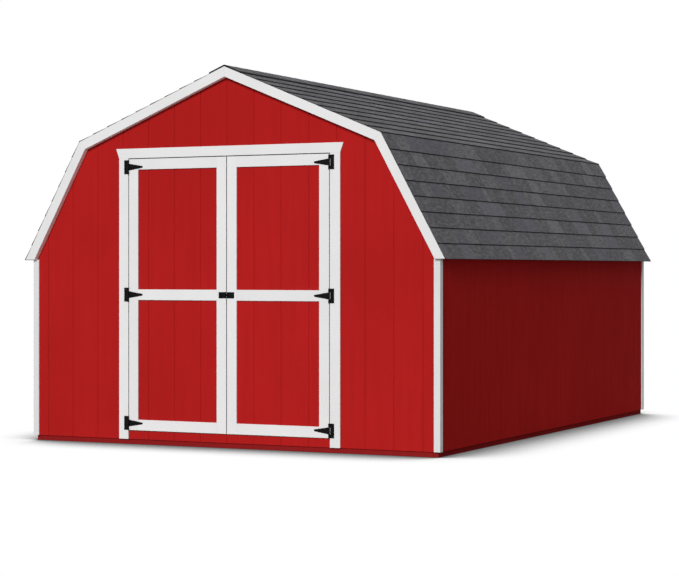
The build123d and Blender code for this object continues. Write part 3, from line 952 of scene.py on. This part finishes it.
def cap_mesh(settings, front, exposure):
    """One folded cap at the front end: thick at its front edge, thin where the next one covers it."""
    low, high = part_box("ridge_cap")
    thickness = 0.004
    sunk = 0.0004
    bend = 0.010
    # Brings the dark band of the granules to the back of each cap, under the next cap's butt: partly printed
    # shadow line, partly painted shade, as on the courses.
    painted_shade_share = 0.88
    slope = (high.z - low.z - thickness) / high.x
    reaches = (high.x, bend, 0.0, -bend, -high.x)
    shape = bmesh.new()
    layer = shape.verts.layers.float_vector.new("tab_place")
    rings = []
    for share in (0.0, 1.0):
        y = front + share * exposure
        top = []
        foot = []
        for x in reaches:
            ridge_ease = 0.0 if x else bend * slope * 0.25
            z = high.z - ridge_ease - abs(x) * slope
            top.append((x, y, z - share * settings.cap_lap, 1.0))
            foot.append((x, y, high.z - thickness - abs(x) * slope - sunk, 0.0))
        ring = []
        for x, y_place, z, level in top + foot[::-1]:
            point = shape.verts.new((x, y_place, z))
            point[layer] = (0.5 + x / (2 * high.x), share * painted_shade_share, level)
            ring.append(point)
        rings.append(ring)
    count = len(rings[0])
    for index in range(count):
        following = (index + 1) % count
        shape.faces.new((rings[0][index], rings[0][following], rings[1][following], rings[1][index]))
    half = count // 2
    for ring in rings:
        for index in range(half - 1):
            shape.faces.new((ring[index], ring[index + 1], ring[count - 2 - index], ring[count - 1 - index]))
    return mesh_from(shape, "ridge_cap_single")


def outward_y(board):
    """Whether a board faces the front or the back."""
    return abs(board.out.y) > FACING


def nails_on_board(board, pitch, inset=0.012, end_inset=0.05):
    """Two rows of nails on the outer face of a board, as points and facings."""
    reach = board.half[2] - end_inset
    count = max(2, round(2 * reach / pitch) + 1)
    rows = (board.half[0] - inset, inset - board.half[0])
    spots = []
    for index in range(count):
        along = -reach + 2 * reach * index / (count - 1)
        for across in rows:
            spots.append((board.point_at(across, board.half[1], along), board.out))
    return spots


def boards_facing_out(board):
    """Turn a board's outer face away from the middle of the barn."""
    middle = board.point_at(0.0, 0.0, 0.0)
    flat = Vector((middle.x if abs(board.out.x) > 0.5 else 0.0, middle.y if outward_y(board) else 0.0, 0.0))
    if board.out.dot(flat) < 0:
        board.out.negate()
        board.middle[1] = -board.middle[1]
    return board


class BARN_OT_siding(bpy.types.Operator):
    """Build the grooved siding of the walls and of the doors"""

    bl_idname = "barn.siding"
    bl_label = "Siding"

    def execute(self, context):
        settings = context.scene.barn_siding
        pitch = settings.groove_pitch
        deep = settings.groove_depth
        front = ["front_siding_left", "front_siding_middle", "front_siding_right"]
        low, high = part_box("back_siding")
        across = groove_places(low.x, high.x, pitch, 0.0)
        _, middle_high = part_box("front_siding_middle")
        door_low, door_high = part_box("left_door_panel")
        gap = middle_high.x + door_low.x
        joints = (middle_high.x, door_low.z - gap, door_high.z + gap)
        edges = [middle_high.x]
        grooved_siding("front_siding_grooved", front, 0, FRONT, across, deep, joints, edges)
        grooved_siding("back_siding_grooved", ["back_siding"], 0, BACK, across, deep)
        for node, side in (("left_siding", -1), ("right_siding", 1)):
            low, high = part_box(node)
            along = groove_places(low.y, high.y, pitch, 0.5)
            grooved_siding(node + "_grooved", [node], 1, Vector((side, 0, 0)), along, settings.side_depth)
        for node in ("left_door_panel", "right_door_panel"):
            low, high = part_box(node)
            across = groove_places(low.x, high.x, pitch, 0.0)
            edges = [abs(low.x), abs(high.x)]
            grooved_siding(node + "_grooved", [node], 0, FRONT, across, deep, edges=edges)
        return {"FINISHED"}


class BARN_OT_trim(bpy.types.Operator):
    """Build the white boards of the roof edges, corners, doorway and doors"""

    bl_idname = "barn.trim"
    bl_label = "Trim"

    def execute(self, context):
        settings = context.scene.barn_trim
        corner = finish("corner_paint", trim_paint, settings.corner_white)
        soffit = finish("soffit_paint", trim_paint, settings.soffit_lit_white)
        for node in TRIM_NODES:
            # The downward faces of the roof edge boards take the brighter soffit white: painted light.
            under = (looks_down, soffit) if node.startswith("rake") else None
            eased_boards(node, settings.ease, white_finish(), under)
        for node in CORNER_NODES:
            eased_boards(node, settings.ease, corner)
        return {"FINISHED"}


class BARN_OT_timber(bpy.types.Operator):
    """Build the floor, wall and roof timbers and the ledges of the doors"""

    bl_idname = "barn.timber"
    bl_label = "Timber"

    def execute(self, context):
        settings = context.scene.barn_timber
        wood = finish("timber_wood", timber_wood, settings)
        # The outer faces at the foot of the walls take the darker foot red: painted shade under the siding.
        paint = finish("foot_paint", siding_paint, context.scene.barn_siding.foot_shaded_red)
        _, rim_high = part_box("floor_side_rims")

        def at_foot_outside(face):
            """Whether a face, or its eased edge, looks out at the foot of the walls."""
            middle = face.calc_center_median()
            beside = abs(middle.x) > rim_high.x - settings.ease
            return beside or abs(middle.y) > rim_high.y - settings.ease

        for node in ("floor_side_rims", "floor_joists"):
            eased_boards(node, settings.ease, wood, (at_foot_outside, paint))
        for node in TIMBER_NODES:
            eased_boards(node, settings.ease, wood)
        return {"FINISHED"}


class BARN_OT_boards(bpy.types.Operator):
    """Finish the floor board, the roof deck and the gussets"""

    bl_idname = "barn.boards"
    bl_label = "Boards"

    def execute(self, context):
        settings = context.scene.barn_timber
        strands = finish("strand_board", strand_board, settings.board)
        planks = finish("floor_board_wood", floor_board_wood, settings)
        for node in ("roof_deck_lower", "roof_deck_upper", "truss_gussets"):
            eased_boards(node, settings.sheet_ease, strands)
        eased_boards("floor_deck", settings.floor_ease, planks)
        return {"FINISHED"}


class BARN_OT_roof(bpy.types.Operator):
    """Lay the courses of shingles and the ridge caps"""

    bl_idname = "barn.roof"
    bl_label = "Roof"

    def execute(self, context):
        settings = context.scene.barn_roof
        roof = RoofLine()
        steep_length = (roof.knee - roof.eave).length
        # The steep slopes get their own darker copy of the granules: painted shade.
        steep_shading = (settings.steep_band, settings.steep_shade)
        steep = {
            "Courses": settings.lower_courses,
            "Exposure": steep_length / (settings.lower_courses - 1 + settings.top_course),
            "Top": settings.top_course,
            "Material": finish("steep_granules", shingle_granules, settings, *steep_shading),
        }
        shallow_length = (roof.ridge - roof.knee).length
        shallow_shading = (settings.shallow_band, 1.0)
        shallow = {
            "Courses": settings.upper_courses,
            "Exposure": (shallow_length - settings.cap_leg) / (settings.upper_courses - 1),
            "Top": 1.0,
            "Material": finish("shallow_granules", shingle_granules, settings, *shallow_shading),
        }
        shingled_slopes("shingles_lower", roof.eave, roof.knee, STEEP_SEED, steep)
        shingled_slopes("shingles_upper", roof.knee, roof.ridge, SHALLOW_SEED, shallow)
        count = round((roof.back - roof.front) / settings.cap_exposure)
        exposure = (roof.back - roof.front) / count
        cap = cap_mesh(settings, roof.front, exposure)
        values = {"Count": count, "Exposure": exposure, "Seed": CAP_SEED, "Material": shallow["Material"]}
        name = "ridge_cap_courses"
        mesh = grown_mesh(name, tree_named("ridge_caps", cap_tree), values, cap)
        add_piece(name, mesh, body_of("ridge_cap"), ["ridge_cap"])
        return {"FINISHED"}


def leaves_of(node):
    """The outer end and the middle height of each leaf of a node."""
    shape = frame_mesh(node)
    found = []
    for points in islands(shape):
        outer = max((point.co.x for point in points), key=abs)
        heights = [point.co.z for point in points]
        found.append((outer, (min(heights) + max(heights)) / 2))
    shape.free()
    return found


class BARN_OT_hardware(bpy.types.Operator):
    """Finish the hinges and the latch, and add their screws"""

    bl_idname = "barn.hardware"
    bl_label = "Hardware"

    def execute(self, context):
        settings = context.scene.barn_hardware
        plate_inset = 0.009
        plate_rises = (-0.037, -0.013, 0.013, 0.037)
        strap_places = ((0.026, 0.011), (0.026, -0.011), (0.055, 0.0), (0.085, 0.0), (0.105, 0.0))
        latch_inset = 0.0065
        iron = finish("black_iron", black_iron, settings.black)
        for node in IRON_NODES:
            for slot in frame["nodes"][node].material_slots:
                slot.material = iron
        jamb_low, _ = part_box("door_jamb_boards")
        spot_y = jamb_low.y - settings.leaf - settings.screw_height / 2

        def screw(outer, inset, z):
            """A screw inwards of an outer end, as a point and its facing."""
            return Vector((outer - math.copysign(inset, outer), spot_y, z)), FRONT

        def add_screws(name, body, spots):
            """The screws of one body, as one piece."""
            size = (settings.screw_radius, settings.screw_height)
            add_heads(name, body, SLOT_IRON, spots, *size, iron, sides=12)

        plates = leaves_of("hinge_plates")
        spots = [screw(outer, plate_inset, middle + rise) for outer, middle in plates for rise in plate_rises]
        add_screws("hinge_plate_screws", "barn", spots)
        for door in ("left_door", "right_door"):
            spots = []
            for root, middle in leaves_of(door + "_hinge_straps"):
                spots += [screw(root, reach, middle + rise) for reach, rise in strap_places]
            low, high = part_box(door + "_latch")
            outer = max(low.x, high.x, key=abs)
            spots += [screw(outer, latch_inset, z) for z in (low.z + latch_inset, high.z - latch_inset)]
            add_screws(door + "_screws", door, spots)
        return {"FINISHED"}


class BARN_OT_nails(bpy.types.Operator):
    """Drive the painted nails of the trim and of the siding"""

    bl_idname = "barn.nails"
    bl_label = "Nails"

    def execute(self, context):
        settings = context.scene.barn_hardware
        nail = (settings.nail_radius, settings.nail_height)
        spots = {}
        for node in TRIM_NODES + CORNER_NODES:
            for board in boards_of(node):
                nails = nails_on_board(boards_facing_out(board), settings.nail_pitch)
                spots.setdefault(body_of(node), []).extend(nails)
        for body, found in spots.items():
            add_heads(body + "_trim_nails", body, SLOT_WHITE, found, *nail, white_finish())
        found = siding_nail_spots(settings.nail_pitch)
        add_heads("siding_nails", "barn", SLOT_RED, found, *nail, red_finish())
        return {"FINISHED"}


def siding_nail_spots(pitch):
    """Nails through the siding into every stud, beside the groove that may lie over it."""
    beside = 0.016
    under_roof = 0.11
    foot_inset = 0.05
    eave_inset = 0.07
    corner_width = 0.05
    around_door = 0.02
    roof = RoofLine()
    _, header_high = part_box("door_header_board")
    _, jamb_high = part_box("door_jamb_boards")
    side_low, side_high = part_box("right_siding")
    back_low, back_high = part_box("back_siding")
    spots = []
    for board in boards_of("side_wall_studs"):
        middle = board.point_at(0.0, 0.0, 0.0)
        facing = Vector((math.copysign(1.0, middle.x), 0.0, 0.0))
        for z in rising(side_low.z + foot_inset, side_high.z - eave_inset, pitch):
            spots.append((Vector((facing.x * side_high.x, middle.y + beside, z)), facing))
    studs = boards_of("end_wall_studs", "gable_studs")
    for x in sorted({round(board.point_at(0.0, 0.0, 0.0).x, 3) for board in studs}):
        nail_x = x + math.copysign(beside, -x)
        if abs(nail_x) > back_high.x - corner_width:
            continue
        heights = rising(back_low.z + foot_inset, roof.height_at(nail_x) - under_roof, pitch)
        at_door = abs(nail_x) < jamb_high.x + around_door
        lowest = header_high.z + around_door if at_door else 0.0
        spots += [(Vector((nail_x, -back_high.y, z)), FRONT) for z in heights if z >= lowest]
        spots += [(Vector((nail_x, back_high.y, z)), BACK) for z in heights]
    return spots


def rising(low, high, pitch):
    """Even heights from a lowest to a highest."""
    count = max(1, round((high - low) / pitch))
    return [low + (high - low) * index / count for index in range(count + 1)]


def add_camera(settings):
    """The camera of the photograph: level, turned about the upright, with its frame lowered."""
    data = bpy.data.cameras.new("barn_camera")
    data.sensor_fit = "HORIZONTAL"
    data.sensor_width = 36.0
    data.lens = data.sensor_width * settings.focal_pixels / PHOTO_WIDTH
    data.shift_y = (settings.horizon_row - PHOTO_HEIGHT / 2) / PHOTO_WIDTH
    data.clip_end = 200.0
    camera = new_object("barn_camera", data)
    camera.location = settings.camera_place
    camera.rotation_euler = (math.pi / 2, 0.0, settings.camera_turn)
    bpy.context.scene.camera = camera


def seen_rays(graph):
    """One for a ray that the camera sees, also by way of gloss or glass."""
    rays = graph.add("ShaderNodeLightPath").outputs
    gloss = graph.math("ADD", rays["Is Camera Ray"], rays["Is Glossy Ray"])
    return graph.math("ADD", gloss, rays["Is Transmission Ray"], clamp=True)


def cleared(owner):
    """The emptied shader graph of a new material or sky."""
    owner.use_nodes = True
    owner.node_tree.nodes.clear()
    return Graph(owner.node_tree)


def add_floor(settings):
    """Pale floor that shows white, with a soft shadow painted into its glow by ambient occlusion where the
    barn closes off the sky.
    """
    half = 60.0
    closed_off = 0.44
    open_sky = 0.88
    corners = [(-half, -half, 0), (half, -half, 0), (half, half, 0), (-half, half, 0)]
    mesh = bpy.data.meshes.new("stage_floor")
    mesh.from_pydata(corners, [], [(0, 1, 2, 3)])
    material = bpy.data.materials.new("stage_floor")
    graph = cleared(material)
    openness = graph.add("ShaderNodeAmbientOcclusion", {"Distance": settings.contact_reach}, samples=16)
    darkest = 1.0 - settings.contact_depth
    # Strength of the floor's glow, lowered near the walls: painted shadow.
    light = graph.spread(openness.outputs["AO"], closed_off, open_sky, darkest, 1.0, smooth=True)
    matte = graph.add("ShaderNodeBsdfDiffuse", {"Color": coloured(settings.floor)})
    lift = graph.add("ShaderNodeEmission", {"Color": (1, 1, 1, 1), "Strength": light})
    both = graph.add("ShaderNodeMixShader", {0: seen_rays(graph), 1: matte, 2: lift})
    graph.add("ShaderNodeOutputMaterial", {"Surface": both})
    mesh.materials.append(material)
    floor = new_object("stage_floor", mesh)


def add_light(settings):
    """A soft key from the front, slightly from the right, and a sky that is white to the camera."""
    data = bpy.data.lights.new("key", "SUN")
    data.energy = settings.key
    data.angle = settings.key_angle
    key = new_object("key", data)
    key.rotation_euler = Vector(settings.key_from).to_track_quat("Z", "Y").to_euler()
    world = bpy.data.worlds.new("sky")
    bpy.context.scene.world = world
    graph = cleared(world)
    soft = graph.add("ShaderNodeBackground", {"Color": (1, 1, 1, 1), "Strength": settings.sky})
    white = graph.add("ShaderNodeBackground", {"Color": (1, 1, 1, 1), "Strength": 1.0})
    either = graph.add("ShaderNodeMixShader", {0: seen_rays(graph), 1: soft, 2: white})
    graph.add("ShaderNodeOutputWorld", {"Surface": either})


class BARN_OT_stage(bpy.types.Operator):
    """Set the camera, the light and the floor"""

    bl_idname = "barn.stage"
    bl_label = "Stage"

    def execute(self, context):
        settings = context.scene.barn_stage
        add_camera(settings)
        add_floor(settings)
        add_light(settings)
        context.scene.view_settings.view_transform = "Standard"
        return {"FINISHED"}


TRIM_NODES = [
    "rake_boards_lower",
    "rake_boards_upper_left",
    "rake_boards_upper_right",
    "door_jamb_boards",
    "door_header_board",
    "left_door_stiles",
    "left_door_rails",
    "right_door_stiles",
    "right_door_rails",
]
CORNER_NODES = ["corner_boards_ends", "corner_boards_sides"]
TIMBER_NODES = [
    "side_wall_plates",
    "side_wall_studs",
    "end_wall_plates",
    "end_wall_studs",
    "door_jack_studs",
    "door_header_beam",
    "gable_studs",
    "lower_rafters",
    "upper_rafters_left",
    "upper_rafters_right",
    "left_door_ledges",
    "right_door_ledges",
]
IRON_NODES = [
    "hinge_plates",
    "left_door_hinge_straps",
    "right_door_hinge_straps",
    "left_door_latch",
    "right_door_latch",
]

OPERATORS = [
    BARN_OT_siding,
    BARN_OT_trim,
    BARN_OT_timber,
    BARN_OT_boards,
    BARN_OT_roof,
    BARN_OT_hardware,
    BARN_OT_nails,
    BARN_OT_stage,
]


class BARN_PT_panel(bpy.types.Panel):
    """The steps that build the barn, in order"""

    bl_idname = "BARN_PT_panel"
    bl_label = "Gambrel barn"
    bl_space_type = "VIEW_3D"
    bl_region_type = "UI"
    bl_category = "Barn"

    def draw(self, context):
        for operator in OPERATORS:
            self.layout.operator(operator.bl_idname)


def register():
    """Add the settings, the steps and the panel."""
    for name, group in GROUPS.items():
        bpy.utils.register_class(group)
        setattr(bpy.types.Scene, name, PointerProperty(type=group))
    for operator in OPERATORS:
        bpy.utils.register_class(operator)
    bpy.utils.register_class(BARN_PT_panel)


def unregister():
    """Take out what register added."""
    bpy.utils.unregister_class(BARN_PT_panel)
    for operator in reversed(OPERATORS):
        bpy.utils.unregister_class(operator)
    for name, group in reversed(GROUPS.items()):
        delattr(bpy.types.Scene, name)
        bpy.utils.unregister_class(group)


def main():
    register()
    bpy.ops.barn.siding()
    bpy.ops.barn.trim()
    bpy.ops.barn.timber()
    bpy.ops.barn.boards()
    bpy.ops.barn.roof()
    bpy.ops.barn.hardware()
    bpy.ops.barn.nails()
    bpy.ops.barn.stage()


if __name__ == "__main__":
    main()
